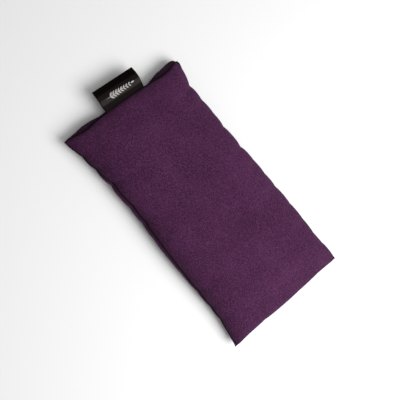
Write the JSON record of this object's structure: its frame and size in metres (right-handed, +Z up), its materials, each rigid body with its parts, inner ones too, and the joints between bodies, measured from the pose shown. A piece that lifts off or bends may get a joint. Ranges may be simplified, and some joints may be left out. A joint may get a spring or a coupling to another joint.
{
  "type": "eye pillow",
  "caption": "Rectangular eye pillow: a brushed fabric cover sewn around an inner bag of flax seed, with a folded label tape in one end seam.",
  "frame": {"origin": "centre of the flat area that the pillow rests on, under the middle of its cover", "axes": "+X along the pillow towards the foot end (the label is at -X), +Y across it, +Z up, away from the surface it rests on"},
  "size_m": [0.2329, 0.108, 0.024],
  "materials": {
    "cover": "matte",
    "cover_thread": "matte",
    "label_tape": "satin",
    "motif_yarn": "satin",
    "inner_bag": "matte",
    "inner_bag_thread": "matte",
    "flax_seed": "satin",
    "lavender": "matte"
  },
  "bodies": {
    "pillow": {"front_panel": "cover", "back_panel": "cover", "left_side_stitches": "cover_thread", "right_side_stitches": "cover_thread", "foot_end_stitches": "cover_thread", "closing_stitches": "cover_thread", "label_tails": "label_tape", "inner_bag_front": "inner_bag", "inner_bag_back": "inner_bag", "inner_bag_stitches": "inner_bag_thread", "flaxseed_filling": "flax_seed", "lavender_buds": "lavender"},
    "label": {"label_tape": "label_tape", "label_motif": "motif_yarn"}
  },
  "joints": [
    {"name": "label_flex", "type": "hinge", "parent": "pillow", "child": "label", "pos_m": [-0.10592, 0, 0.012], "axis": [0, 1, 0], "range_deg": [-30, 75], "stiffness_Nm_per_rad": 0.002}
  ]
}
